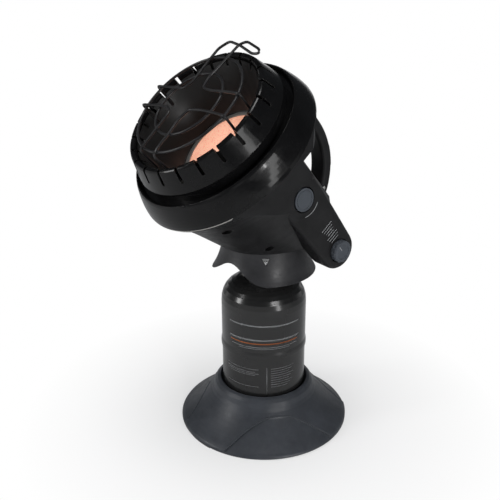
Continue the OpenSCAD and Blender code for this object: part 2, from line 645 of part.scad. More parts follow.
// ---- gas cock and knob ----
plug_r = 5;
shaft_r = 3;
shaft_flat = shaft_r - 0.6;                            // height of the flat above the shaft's axis
bore_end = knob_back + knob_h - 2.5;                   // end of the knob's bore
shaft_end = bore_end - knob_travel - gap;
module cock_frame() head() arm_frame() translate([0, 0, -knob_far]) children();
module gas_cock() color(brass) cock_frame() difference() {
  along_x(cock_back, cock_front, cock_r);
  along_x(cock_back + 2, arm_face, plug_r + fit);
  translate([cock_x, 0, 0]) rotate([arm_droop, 0, 0]) {
    rotate([90, 0, 0]) cylinder(r = pipe_r + fit, h = 20);
    cylinder(r = pipe_r + fit, h = 20);
  }
}
module cock_plug() color(steel) cock_frame() difference() {
  union() {
    along_x(cock_back + 2 + 0.1, cock_front - 0.2, plug_r);
    along_x(cock_front - 1, shaft_end, shaft_r);
  }
  translate([cock_x, 0, 0]) rotate([90, 0, 0]) cylinder(r = 1.5, h = 12);
  translate([cock_x, 0, 0]) cylinder(r = 1.5, h = 12);
  translate([cock_front, shaft_flat, -5]) cube([20, 5, 10]);
}
module knob() color(plastic) cock_frame() difference() {
  union() {
    along_x(knob_back, knob_back + knob_h - 0.8, knob_d / 2);
    along_x(knob_back, knob_back + knob_h, knob_d / 2 - 1);
    // sleeve on the shaft, inside the spring
    along_x(knob_back - knob_travel, knob_back + 1, shaft_r + 0.8);
  }
  // finger grooves round the rim
  for (i = [0:11]) rotate([i * 30 + 15, 0, 0]) translate([knob_back + 2, knob_d / 2 + 1.6, 0])
    along_x(0, knob_h, 2.4);
  along_x(knob_back + knob_h - 0.6, knob_back + knob_h + 1, knob_d / 2 - 4);
  difference() {
    along_x(knob_back - knob_travel - 1, bore_end, shaft_r + fit);
    translate([knob_back - knob_travel - 2, shaft_flat + fit, -5]) cube([20, 5, 10]);
  }
  translate([knob_back - 1, 0, 0]) rotate([0, 90, 0]) pipe(knob_d / 2 - 3, shaft_r + 3, 4);
}
module knob_spring() color(steel) cock_frame() translate([cock_front, 0, 0]) rotate([0, 90, 0])
  coil(4.9, knob_back - cock_front, 3, 0.8);          // clear of the knob's sleeve

// ---- tilt switch ----
module tilt_switch() color(slate) translate([-32, 5, collar_z]) {
  translate([-6, -5, 0]) cube([12, 10, 16]);
  translate([-9, -3, 0]) cube([18, 6, 1.5]);
}

// ---- guard ----
wire_r = wire_d / 2;
function lifted(p, z) = [for (q = p) [q[0], q[1], z]];
leg_z = -16.5;
leg_r = nose_r - 11.85;                                // where a leg's end touches the bowl
guard_z = guard_s;
function leg(p) = let (q = unit(p) * leg_r) [q[0], q[1], leg_z];
module guard_wire(p) bar(soft_corners(concat([leg(p[0])], lifted(p, guard_z),
  [leg(p[len(p) - 1])]), 4, 3), wire_r, 8);
module guard_cross() color(plastic) head() {
  guard_wire([[16, -66.5], [12.5, -57], [12, -40], [9, -22], [12, -8], [27, -5], [44, -4],
    [66.5, -4]]);
  guard_wire([[-66, -17], [-40, -13], [-22, -11], [-13, -17], [-12, -38], [-10, -66]]);
  guard_wire([[-67, 9], [-40, 12], [-22, 14], [-17, 22], [-19, 47], [-20, 70], [-12, 81],
    [8, 78], [36, 70], [45, 72], [40, 77], [14, 84], [6, 79], [4, 50], [2, 34], [6, 20],
    [20, 19], [47, 22], [62, 23]]);
}
module guard_ring(r) translate([0, 0, guard_z - wire_d]) rotate_extrude($fn = 128)
  translate([r, 0]) circle(r = wire_r, $fn = 16);
module guard_inner_ring() color(plastic) head() guard_ring(guard_in_r);
module guard_outer_ring() color(plastic) head() guard_ring(guard_out_r);

foot();
foot_ribs();
foot_pads();
tank_lower_cup();
tank_upper_cup();
tank_foot_ring();
valve_body();
valve_core();
core_spring();
relief_valve();
collar();
housing_left();
housing_right();
housing_screws();
handle();
handle_grip();
handle_screws();
regulator();
inlet_seal();
gas_pipe();
jet();
jet_bracket();
mixing_tube();
burner_cup();
tile_gasket();
burner_tile();
tile_retainer();
back_plate();
shroud();
front_ring();
reflector();
plate_screws();
guard_cross();
guard_inner_ring();
guard_outer_ring();
electrode();
thermocouple();
igniter();
button();
button_spring();
gas_cock();
cock_plug();
knob();
knob_spring();
tilt_switch();
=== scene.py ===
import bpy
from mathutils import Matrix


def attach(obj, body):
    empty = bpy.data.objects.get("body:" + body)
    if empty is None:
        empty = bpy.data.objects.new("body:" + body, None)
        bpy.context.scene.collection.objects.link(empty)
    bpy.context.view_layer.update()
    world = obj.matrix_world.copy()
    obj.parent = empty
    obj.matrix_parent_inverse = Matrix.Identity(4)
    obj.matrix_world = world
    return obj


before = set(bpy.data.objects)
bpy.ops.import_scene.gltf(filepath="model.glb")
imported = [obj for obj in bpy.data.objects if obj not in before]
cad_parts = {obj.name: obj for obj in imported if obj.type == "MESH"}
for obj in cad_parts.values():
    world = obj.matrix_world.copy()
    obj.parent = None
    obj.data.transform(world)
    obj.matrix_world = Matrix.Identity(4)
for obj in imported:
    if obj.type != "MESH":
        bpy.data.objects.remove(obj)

"""Looks of a portable propane heater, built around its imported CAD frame.

Each sub-assembly is a class with its sizes as dataclass fields. Its dress() gives the CAD nodes
their finishes, and its build() adds the pieces that only the looks need. Lengths are in metres in
the row frame: +Z up, the burner facing -Y and up, the control arm on +X.
"""
import logging
import math
from dataclasses import dataclass, field
from enum import Enum
from typing import Sequence

import bmesh
import bpy
from mathutils import Matrix, Vector

log = logging.getLogger("heater")
Colour = tuple[float, float, float]
Point = tuple[float, float, float]
MM = 0.001
TONE_PATCH = 24 * MM
SMUDGE_PATCH = 9 * MM
WEAR_PATCH = 3.5 * MM
DUST_PATCH = 5 * MM
DUST_COLOUR: Colour = (0.45, 0.44, 0.42)
PRINT_THICK = 0.06 * MM
EDGE_TURN = (0.985, 0.80)  # cosine between true and softened normal where wear starts and is full


class Grain(Enum):
    """Kinds of fine surface relief."""

    SMOOTH = "smooth"
    SPARK = "spark"
    PEEL = "peel"
    CAST = "cast"
    BRUSHED = "brushed"
    FIRED = "fired"


class Body(Enum):
    """CAD bodies that pieces ride on."""

    BASE = "base"
    CYLINDER = "cylinder"
    HEAD = "head"
    KNOB = "knob"


class Graph:
    """A small helper round one material's node tree.

    Args:
        material: The material whose nodes are built.
    """

    def __init__(self, material: bpy.types.Material) -> None:
        """Empties the material's tree.

        Args:
            material: The material whose nodes are built.
        """
        material.use_nodes = True
        self.tree = material.node_tree
        self.tree.nodes.clear()

    def node(self, kind: str, **settings: object) -> bpy.types.Node:
        """Adds a node.

        Args:
            kind: Node type without its ShaderNode prefix.
            settings: Attributes to set on the node.

        Returns:
            The new node.
        """
        made = self.tree.nodes.new("ShaderNode" + kind)
        for key, value in settings.items():
            setattr(made, key, value)
        return made

    def put(self, socket: bpy.types.NodeSocket, value: object) -> None:
        """Links a socket to another, or sets it to a constant.

        Args:
            socket: The input socket.
            value: An output socket, a number or a colour.
        """
        if isinstance(value, bpy.types.NodeSocket):
            self.tree.links.new(value, socket)
        elif isinstance(value, tuple) and len(value) == 3 and socket.type == "RGBA":
            socket.default_value = (*value, 1.0)
        else:
            socket.default_value = value

    def place(self, stretch: Point = (1.0, 1.0, 1.0)) -> bpy.types.NodeSocket:
        """Object coordinates, stretched per axis.

        Args:
            stretch: Scale of each axis.

        Returns:
            The vector output.
        """
        coords = self.node("TexCoord")
        mapping = self.node("Mapping")
        self.put(mapping.inputs["Vector"], coords.outputs["Object"])
        mapping.inputs["Scale"].default_value = stretch
        return mapping.outputs["Vector"]

    def noise(self, size: float, detail: float = 3.0, rough: float = 0.55,
              stretch: Point = (1.0, 1.0, 1.0)) -> bpy.types.NodeSocket:
        """Noise whose features are about size across.

        Args:
            size: Feature size in metres.
            detail: Octaves.
            rough: Strength of the finer octaves.
            stretch: Scale of each axis.

        Returns:
            The factor output.
        """
        made = self.node("TexNoise")
        self.put(made.inputs["Vector"], self.place(stretch))
        made.inputs["Scale"].default_value = 1.0 / size
        made.inputs["Detail"].default_value = detail
        made.inputs["Roughness"].default_value = rough
        return made.outputs["Fac"]

    def cells(self, size: float) -> bpy.types.NodeSocket:
        """Distance field of scattered cells.

        Args:
            size: Cell size in metres.

        Returns:
            The distance output.
        """
        made = self.node("TexVoronoi", feature="F1")
        self.put(made.inputs["Vector"], self.place())
        made.inputs["Scale"].default_value = 1.0 / size
        return made.outputs["Distance"]

    def spread(self, value: object, low: float, high: float, to_low: float,
               to_high: float) -> bpy.types.NodeSocket:
        """Maps one range of values to another, clamped.

        Args:
            value: Input socket or number.
            low: Start of the input range.
            high: End of the input range.
            to_low: Output at low.
            to_high: Output at high.

        Returns:
            The mapped output.
        """
        made = self.node("MapRange")
        for name, item in (("Value", value), ("From Min", low), ("From Max", high),
                           ("To Min", to_low), ("To Max", to_high)):
            self.put(made.inputs[name], item)
        return made.outputs["Result"]

    def mix(self, share: object, first: object, second: object) -> bpy.types.NodeSocket:
        """Mixes two colours.

        Args:
            share: Share of the second colour.
            first: First colour.
            second: Second colour.

        Returns:
            The mixed colour.
        """
        made = self.node("Mix", data_type="RGBA")
        for index, item in ((0, share), (6, first), (7, second)):
            self.put(made.inputs[index], item)
        return made.outputs[2]

    def maths(self, kind: str, first: object, second: object) -> bpy.types.NodeSocket:
        """One arithmetic step.

        Args:
            kind: Operation name.
            first: First operand.
            second: Second operand.

        Returns:
            The result.
        """
        made = self.node("Math", operation=kind)
        self.put(made.inputs[0], first)
        self.put(made.inputs[1], second)
        return made.outputs[0]

    def edges(self, radius: float) -> tuple[bpy.types.NodeSocket, bpy.types.NodeSocket]:
        """Softened normal near edges, and a mask of those edges.

        Args:
            radius: How far the softening reaches, in metres.

        Returns:
            The softened normal and the mask.
        """
        soft = self.node("Bevel", samples=4)
        soft.inputs["Radius"].default_value = radius
        true = self.node("NewGeometry")
        dot = self.node("VectorMath", operation="DOT_PRODUCT")
        self.put(dot.inputs[0], soft.outputs["Normal"])
        self.put(dot.inputs[1], true.outputs["Normal"])
        return soft.outputs["Normal"], self.spread(dot.outputs["Value"], *EDGE_TURN, 0.0, 1.0)

    def bump(self, height: object, depth: float, normal: object) -> bpy.types.NodeSocket:
        """Relief on top of a normal.

        Args:
            height: Height field, 0 to 1.
            depth: Depth in metres.
            normal: Normal underneath.

        Returns:
            The new normal.
        """
        made = self.node("Bump")
        made.inputs["Strength"].default_value = 1.0
        made.inputs["Distance"].default_value = depth
        self.put(made.inputs["Height"], height)
        self.put(made.inputs["Normal"], normal)
        return made.outputs["Normal"]


@dataclass(frozen=True)
class Finish:
    """A procedural surface finish.

    Args:
        name: Material name.
        base: Base colour.
        roughness: Mean roughness.
        metallic: Share of metal.
        grain: Kind of fine relief.
        grain_size: Size of the relief's features.
        grain_depth: Depth of the relief.
        tone: Strength of the slow colour change over the surface.
        smudge: Spread of the roughness.
        wear: How far edges turn to the worn colour.
        worn: Colour of worn edges.
        edge: Softening radius at edges.
        coat: Clear coat.
        shine: Strength of the plain reflection, 0.5 as for most plastics.
        dust: Share of pale dust on faces that look up.
    """

    name: str
    base: Colour
    roughness: float
    metallic: float = 0.0
    grain: Grain = Grain.SMOOTH
    grain_size: float = 0.6 * MM
    grain_depth: float = 0.03 * MM
    tone: float = 0.12
    smudge: float = 0.08
    wear: float = 0.15
    worn: Colour = (0.12, 0.12, 0.125)
    edge: float = 0.5 * MM
    coat: float = 0.0
    shine: float = 0.5
    dust: float = 0.0

    def height(self, graph: Graph) -> bpy.types.NodeSocket:
        """Height field of the grain.

        Args:
            graph: The material's graph.

        Returns:
            A 0 to 1 height.
        """
        size = self.grain_size
        if self.grain is Grain.SPARK:
            return graph.maths("ADD", graph.noise(size, 2.0, 0.7),
                               graph.maths("MULTIPLY", graph.cells(size * 1.6), 0.5))
        if self.grain is Grain.CAST:
            return graph.noise(size, 6.0, 0.75)
        if self.grain is Grain.BRUSHED:
            return graph.noise(size, 4.0, 0.8, (1.0, 1.0, 0.06))
        return graph.noise(size, 1.5, 0.4)

    def colour(self, graph: Graph, mask: bpy.types.NodeSocket) -> bpy.types.NodeSocket:
        """Base colour with its slow change, worn edges and dust.

        Args:
            graph: The material's graph.
            mask: Edge mask.

        Returns:
            The colour.
        """
        dark = tuple(c * (1.0 - self.tone) for c in self.base)
        light = tuple(min(1.0, c * (1.0 + self.tone)) for c in self.base)
        slow = graph.spread(graph.noise(TONE_PATCH, 4.0), 0.35, 0.65, 0.0, 1.0)
        tone = graph.mix(slow, dark, light)
        patchy = graph.spread(graph.noise(WEAR_PATCH, 4.0, 0.7), 0.42, 0.62, 0.0, self.wear)
        tone = graph.mix(graph.maths("MULTIPLY", mask, patchy), tone, self.worn)
        if self.dust:
            facing = graph.node("SeparateXYZ")
            graph.put(facing.inputs[0], graph.node("NewGeometry").outputs["Normal"])
            specks = graph.spread(graph.noise(DUST_PATCH, 6.0, 0.8), 0.45, 0.75, 0.0, self.dust)
            up = graph.spread(facing.outputs["Z"], 0.2, 1.0, 0.0, 1.0)
            tone = graph.mix(graph.maths("MULTIPLY", up, specks), tone, DUST_COLOUR)
        return tone

    def build(self) -> bpy.types.Material:
        """Makes the material, once.

        Returns:
            The material.
        """
        known = bpy.data.materials.get(self.name)
        if known:
            return known
        material = bpy.data.materials.new(self.name)
        graph = Graph(material)
        shader = graph.node("BsdfPrincipled")
        normal, mask = graph.edges(self.edge)
        if self.grain is not Grain.SMOOTH:
            normal = graph.bump(self.height(graph), self.grain_depth, normal)
        uneven = graph.spread(graph.noise(SMUDGE_PATCH, 5.0, 0.65), 0.3, 0.7,
                              max(0.02, self.roughness - self.smudge),
                              min(1.0, self.roughness + self.smudge))
        graph.put(shader.inputs["Base Color"], self.colour(graph, mask))
        graph.put(shader.inputs["Roughness"], uneven)
        graph.put(shader.inputs["Normal"], normal)
        shader.inputs["Metallic"].default_value = self.metallic
        shader.inputs["Specular IOR Level"].default_value = self.shine
        shader.inputs["Coat Weight"].default_value = self.coat
        shader.inputs["Coat Roughness"].default_value = 0.04
        self.extra(graph, shader)
        out = graph.node("OutputMaterial")
        graph.put(out.inputs["Surface"], shader.outputs["BSDF"])
        material.diffuse_color = (*self.base, 1.0)
        return material

    def extra(self, graph: Graph, shader: bpy.types.Node) -> None:
        """Last changes to the shader; the plain finish makes none.

        Args:
            graph: The material's graph.
            shader: The principled shader.
        """


@dataclass(frozen=True)
class Ceramic(Finish):
    """A fired ceramic tile with scattered fine ports.

    Args:
        pitch: Mean distance between ports.
        port_shade: Colour painted inside the ports as their shade.
        light: Colour of the raised specks.
        burnt: Colour of the scorched patches.
        painted_glow: Colour of a painted glow that the tile gives off as its own light, which
            brightens it against the shade in the bowl.
        painted_glow_level: Strength of that painted glow.
    """

    pitch: float = 1.9 * MM
    port_shade: Colour = (0.32, 0.10, 0.05)
    light: Colour = (0.95, 0.66, 0.50)
    burnt: Colour = (0.62, 0.26, 0.15)
    painted_glow: Colour = (1.0, 0.40, 0.24)
    painted_glow_level: float = 0.45

    def extra(self, graph: Graph, shader: bpy.types.Node) -> None:
        """Adds the ports with painted shade in them, a mottled, faintly scorched body and a
        painted glow.

        Args:
            graph: The material's graph.
            shader: The principled shader.
        """
        cells = graph.cells(self.pitch)
        hole_and_shade = graph.spread(cells, 0.16, 0.26, 1.0, 0.0)
        speck = graph.spread(graph.noise(1.1 * MM, 5.0, 0.8), 0.46, 0.60, 0.0, 1.0)
        body = graph.mix(speck, self.base, self.light)
        scorch = graph.spread(graph.noise(16 * MM, 4.0), 0.5, 0.7, 0.0, 0.35)
        body = graph.mix(scorch, body, self.burnt)
        # The ports are painted a darker colour as the shade inside them, and the same mask also
        # sinks them as relief.
        graph.put(shader.inputs["Base Color"], graph.mix(hole_and_shade, body, self.port_shade))
        # The emission is a painted glow that brightens the tile against the shade in the bowl; the
        # ports give off their darker painted shade colour.
        graph.put(shader.inputs["Emission Color"], graph.mix(hole_and_shade, self.painted_glow, self.port_shade))
        shader.inputs["Emission Strength"].default_value = self.painted_glow_level
        soft = graph.node("NewGeometry").outputs["Normal"]
        normal = graph.bump(graph.maths("SUBTRACT", 1.0, hole_and_shade), 0.3 * MM, soft)
        graph.put(shader.inputs["Normal"], graph.bump(speck, 0.04 * MM, normal))


@dataclass(frozen=True)
class HeatTinted(Finish):
    """Steel that heat has tinted in patches.

    Args:
        tint: Colour of the patches.
    """

    tint: Colour = (0.30, 0.17, 0.10)

    def extra(self, graph: Graph, shader: bpy.types.Node) -> None:
        """Mixes the heat tint in with patches.

        Args:
            graph: The material's graph.
            shader: The principled shader.
        """
        patch = graph.spread(graph.noise(18 * MM, 5.0), 0.4, 0.65, 0.0, 0.7)
        graph.put(shader.inputs["Base Color"], graph.mix(patch, self.base, self.tint))


DARK_PLASTIC = Finish("dark_plastic_grain", (0.011, 0.011, 0.0115), 0.42, grain=Grain.SPARK,
                      grain_size=0.55 * MM, grain_depth=0.035 * MM, tone=0.22, wear=0.35,
                      worn=(0.06, 0.06, 0.06), edge=0.7 * MM, shine=0.16, dust=0.02)
COLLAR_PLASTIC = Finish("collar_plastic_grain", (0.026, 0.026, 0.028), 0.40, grain=Grain.SPARK,
                        grain_size=0.5 * MM, grain_depth=0.03 * MM, tone=0.18, wear=0.3,
                        worn=(0.10, 0.10, 0.10), edge=0.6 * MM, shine=0.25, dust=0.02)
SLATE_PLASTIC = Finish("slate_plastic_satin", (0.044, 0.048, 0.056), 0.40, grain=Grain.SPARK,
                       grain_size=0.45 * MM, grain_depth=0.02 * MM, tone=0.12, wear=0.35,
                       worn=(0.14, 0.15, 0.16), edge=0.8 * MM, shine=0.22, dust=0.03)
BUTTON_PLASTIC = Finish("button_plastic", (0.060, 0.068, 0.080), 0.38, grain=Grain.SPARK,
                        grain_size=0.4 * MM, grain_depth=0.015 * MM, tone=0.10, wear=0.3,
                        worn=(0.18, 0.19, 0.21), edge=0.6 * MM, shine=0.25)
GRIP_RUBBER = Finish("grip_rubber", (0.016, 0.016, 0.017), 0.62, grain=Grain.SPARK,
                     grain_size=0.9 * MM, grain_depth=0.06 * MM, tone=0.15, dust=0.03)
PAD_RUBBER = Finish("pad_rubber", (0.018, 0.018, 0.018), 0.75, grain=Grain.CAST,
                    grain_size=1.2 * MM, grain_depth=0.05 * MM)
CYLINDER_PAINT = Finish("cylinder_paint", (0.008, 0.008, 0.009), 0.18, grain=Grain.PEEL,
                        grain_size=2.6 * MM, grain_depth=0.012 * MM, tone=0.12, smudge=0.06,
                        wear=0.30, worn=(0.20, 0.19, 0.18), edge=0.5 * MM, coat=0.25, shine=0.3)
DARK_COATING = Finish("heat_coating", (0.005, 0.005, 0.0053), 0.20, grain=Grain.PEEL,
                      grain_size=1.8 * MM, grain_depth=0.010 * MM, tone=0.16, smudge=0.07,
                      wear=0.35, worn=(0.12, 0.11, 0.10), edge=0.6 * MM, coat=0.10, shine=0.12)
WIRE_COATING = Finish("wire_coating", (0.012, 0.012, 0.013), 0.38, shine=0.3, grain=Grain.PEEL,
                      grain_size=1.0 * MM, grain_depth=0.012 * MM, tone=0.25, smudge=0.10,
                      wear=0.3, worn=(0.20, 0.15, 0.11), edge=0.4 * MM)
BOWL_ENAMEL = Finish("bowl_enamel", (0.003, 0.003, 0.0032), 0.07, grain=Grain.PEEL,
                     grain_size=6.0 * MM, grain_depth=0.02 * MM, tone=0.2, smudge=0.04,
                     wear=0.3, worn=(0.16, 0.11, 0.08), edge=0.5 * MM, coat=0.03, shine=0.08)
PLATED_STEEL = Finish("plated_steel", (0.58, 0.57, 0.55), 0.30, metallic=1.0,
                      grain=Grain.BRUSHED, grain_size=0.35 * MM, grain_depth=0.008 * MM,
                      worn=(0.30, 0.28, 0.26), edge=0.3 * MM)
TURNED_BRASS = Finish("turned_brass", (0.66, 0.46, 0.18), 0.28, metallic=1.0,
                      grain=Grain.BRUSHED, grain_size=0.3 * MM, grain_depth=0.008 * MM,
                      worn=(0.50, 0.36, 0.16), edge=0.3 * MM)
CAST_ALLOY = Finish("cast_alloy", (0.12, 0.12, 0.122), 0.50, metallic=1.0, grain=Grain.CAST,
                    grain_size=1.6 * MM, grain_depth=0.12 * MM, worn=(0.40, 0.40, 0.39),
                    edge=0.6 * MM)
BURNER_STEEL = HeatTinted("burner_steel", (0.40, 0.38, 0.35), 0.36, metallic=1.0,
                          grain=Grain.BRUSHED, grain_size=0.5 * MM, grain_depth=0.01 * MM)
FIBRE = Finish("ceramic_fibre", (0.70, 0.67, 0.60), 0.95, grain=Grain.CAST,
               grain_size=1.4 * MM, grain_depth=0.25 * MM, tone=0.2, wear=0.0)
# The tile's glow and the dark inside its ports are painted light and painted shade.
TILE_CERAMIC = Ceramic("burner_ceramic", (0.84, 0.46, 0.34), 0.85, grain=Grain.FIRED,
                       grain_size=1.0 * MM, grain_depth=0.05 * MM)
PROBE_GLAZE = Finish("probe_glaze", (0.80, 0.78, 0.72), 0.22, grain=Grain.PEEL,
                     grain_size=1.5 * MM, grain_depth=0.01 * MM, wear=0.0, coat=0.5)
PROBE_COPPER = Finish("probe_copper", (0.52, 0.30, 0.16), 0.38, metallic=1.0,
                      grain=Grain.CAST, grain_size=0.8 * MM, grain_depth=0.02 * MM)
PRINT_PALE = Finish("print_pale", (0.42, 0.43, 0.44), 0.42, tone=0.12, wear=0.0)
PRINT_ORANGE = Finish("print_orange", (0.55, 0.16, 0.05), 0.42, tone=0.12, wear=0.0)


class Shaper:
    """Builds meshes for the looks and seats them on the frame."""

    @staticmethod
    def mesh(name: str, points: Sequence[Vector], faces: Sequence[Sequence[int]],
             finish: Finish, smooth: bool = True) -> bpy.types.Object:
        """Makes a mesh object.

        Args:
            name: Object name.
            points: Vertices in the row frame.
            faces: Faces as index lists.
            finish: Its finish.
            smooth: Whether faces are shaded smooth.

        Returns:
            The object.
        """
        data = bpy.data.meshes.new(name)
        data.from_pydata([tuple(p) for p in points], [], [list(f) for f in faces])
        edit = bmesh.new()
        edit.from_mesh(data)
        bmesh.ops.recalc_face_normals(edit, faces=edit.faces)
        edit.to_mesh(data)
        edit.free()
        for face in data.polygons:
            face.use_smooth = smooth
        data.materials.append(finish.build())
        made = bpy.data.objects.new(name, data)
        bpy.context.scene.collection.objects.link(made)
        return made

    @staticmethod
    def seat(piece: bpy.types.Object, body: Body, slot: str) -> bpy.types.Object:
        """Rides a piece on a CAD body.

        Args:
            piece: The piece.
            body: The body it moves with.
            slot: Not used.

        Returns:
            The piece.
        """
        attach(piece, body.value)
        return piece

    @classmethod
    def tube(cls, name: str, path: Sequence[Vector], radius: float, finish: Finish,
             sides: int = 10, closed: bool = False) -> bpy.types.Object:
        """A round bar along a path.

        Args:
            name: Object name.
            path: Middle line.
            radius: Radius of the bar.
            finish: Its finish.
            sides: Facets round it.
            closed: Whether the path is a loop.

        Returns:
            The object.
        """
        count = len(path)
        points: list[Vector] = []
        side = Vector((0.31, 0.17, 0.94)).normalized()
        for i, here in enumerate(path):
            ahead = path[(i + 1) % count] if closed or i + 1 < count else here
            behind = path[i - 1] if closed or i else here
            run = (ahead - behind).normalized()
            side = (side - run * side.dot(run)).normalized()
            other = run.cross(side)
            points += [here + radius * (math.cos(a) * side + math.sin(a) * other)
                       for a in (2 * math.pi * j / sides for j in range(sides))]
        rows = count if closed else count - 1
        faces = [[i * sides + j, i * sides + (j + 1) % sides,
                  (i + 1) % count * sides + (j + 1) % sides, (i + 1) % count * sides + j]
                 for i in range(rows) for j in range(sides)]
        if not closed:
            faces += [list(range(sides)), list(range((count - 1) * sides, count * sides))]
        return cls.mesh(name, points, faces, finish)

    @classmethod
    def band(cls, name: str, radius: float, low: float, high: float, start: float, end: float,
             finish: Finish) -> bpy.types.Object:
        """A thin printed band round the Z axis.

        Args:
            name: Object name.
            radius: Inner radius.
            low: Lower height.
            high: Upper height.
            start: First angle, degrees.
            end: Last angle, degrees.
            finish: Its finish.

        Returns:
            The object.
        """
        steps = max(2, int(abs(end - start) / 3))
        points, faces = [], []
        for i in range(steps + 1):
            a = math.radians(start + (end - start) * i / steps)
            out = Vector((math.cos(a), math.sin(a), 0.0))
            for r, z in ((radius, low), (radius + PRINT_THICK, low), (radius + PRINT_THICK, high),
                         (radius, high)):
                points.append(out * r + Vector((0.0, 0.0, z)))
        for i in range(steps):
            for j in range(4):
                k = (j + 1) % 4
                faces.append([4 * i + j, 4 * i + k, 4 * i + 4 + k, 4 * i + 4 + j])
        faces += [[0, 1, 2, 3], [4 * steps + j for j in range(4)]]
        return cls.mesh(name, points, faces, finish)

    @classmethod
    def blob(cls, name: str, centre: Vector, size: Vector, turn: Matrix,
             finish: Finish) -> bpy.types.Object:
        """A flattened, slightly uneven bead, such as a spot weld.

        Args:
            name: Object name.
            centre: Its middle.
            size: Half its extent along each of its own axes.
            turn: Rotation of its axes.
            finish: Its finish.

        Returns:
            The object.
        """
        rings, sides = 7, 12
        points, faces = [], []
        for i in range(rings + 1):
            t = math.pi * i / rings
            for j in range(sides):
                a = 2 * math.pi * j / sides
                swell = 1.0 + 0.06 * math.sin(3 * a + 5 * t)
                local = Vector((size.x * math.sin(t) * math.cos(a) * swell,
                                size.y * math.sin(t) * math.sin(a) * swell,
                                size.z * math.cos(t)))
                points.append(centre + turn @ local)
        for i in range(rings):
            for j in range(sides):
                k = (j + 1) % sides
                faces.append([i * sides + j, i * sides + k, (i + 1) * sides + k,
                              (i + 1) * sides + j])
        return cls.mesh(name, points, faces, finish)


@dataclass
class SubAssembly:
    """A named group of CAD nodes and the pieces that dress it.

    Args:
        title: What the group is called in the log.
        finishes: Finish of each CAD node.
        pieces: Pieces added for the looks.
    """

    title: str = ""
    finishes: dict[str, Finish] = field(default_factory=dict)
    pieces: list[bpy.types.Object] = field(default_factory=list)

    def dress(self) -> None:
        """Gives every CAD node of the group its finish."""
        for name, finish in self.finishes.items():
            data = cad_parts[name].data
            data.materials.clear()
            data.materials.append(finish.build())

    def add(self, piece: bpy.types.Object, body: Body, slot: str) -> bpy.types.Object:
        """Seats a piece and keeps it in the list.

        Args:
            piece: The piece.
            body: The body it rides on.
            slot: Not used; passed on to seat(), which does not use it.

        Returns:
            The piece.
        """
        self.pieces.append(Shaper.seat(piece, body, slot))
        return piece

    def build(self) -> None:
        """Adds the group's own pieces; the plain group has none."""

    def report(self) -> None:
        """Logs what the group holds."""
        log.info("%s: %d CAD nodes dressed, %d pieces added", self.title, len(self.finishes),
                 len(self.pieces))


@dataclass
class Foot(SubAssembly):
    """The bell-shaped foot with its lens-shaped panels.

    Args:
        rim: Radius of the rim.
        panels: Number of panels.
        turn: Azimuth of the first panel.
        reach: Distance of a panel's cutting circle from the middle.
        circle: Radius of that circle.
        bead: Radius of the rounded bead along a panel's edge.
        sunk: Depth of the bead's middle under the surface.
        margin: Distance between the bead's ends and the rim.
        steps: Points to either side of a bead's middle.
        step_turn: Angle between two points of a bead, degrees.
        flare: Radius and height of the bell's outline in millimetres, a curve's four points first.
    """

    rim: float = 102 * MM
    panels: int = 3
    turn: float = -26.0
    reach: float = 233.6 * MM
    circle: float = 167.3 * MM
    bead: float = 0.9 * MM
    sunk: float = 0.55 * MM
    margin: float = 0.4 * MM
    steps: int = 40
    step_turn: float = 0.62
    flare: tuple[tuple[float, float], ...] = (
        (67.8, 34.5), (77.3, 24.0), (88.0, 15.5), (98.0, 9.0), (100.8, 6.8), (102.0, 5.0))

    def surface(self, radius: float) -> float:
        """Height of the bell's flare at a radius.

        Args:
            radius: Distance from the axis.

        Returns:
            The height.
        """
        ends = self.flare
        line = [tuple((1 - t) ** 3 * a + 3 * t * (1 - t) ** 2 * b + 3 * t * t * (1 - t) * c
                      + t ** 3 * d for a, b, c, d in zip(*ends[:4]))
                for t in (i / 14 for i in range(15))] + list(ends[4:])
        for (r0, z0), (r1, z1) in zip(line, line[1:]):
            if r0 <= radius / MM <= r1:
                return (z0 + (z1 - z0) * (radius / MM - r0) / (r1 - r0)) * MM
        return ends[0][1] * MM if radius / MM < ends[0][0] else ends[-1][1] * MM

    def build(self) -> None:
        """Adds the rounded bead along each panel's edge."""
        for index in range(self.panels):
            middle = math.radians(self.turn + 360 / self.panels * index)
            path = []
            for i in range(-self.steps, self.steps + 1):
                a = math.radians(i * self.step_turn)
                along = self.reach - self.circle * math.cos(a)
                across = self.circle * math.sin(a)
                radius = math.hypot(along, across)
                if radius < self.rim - self.margin:
                    path.append(Vector((along * math.cos(middle) - across * math.sin(middle),
                                        along * math.sin(middle) + across * math.cos(middle),
                                        self.surface(radius) - self.sunk)))
            self.add(Shaper.tube(f"foot_panel_bead_{index}", path, self.bead, SLATE_PLASTIC),
                     Body.BASE, "slate_plastic")


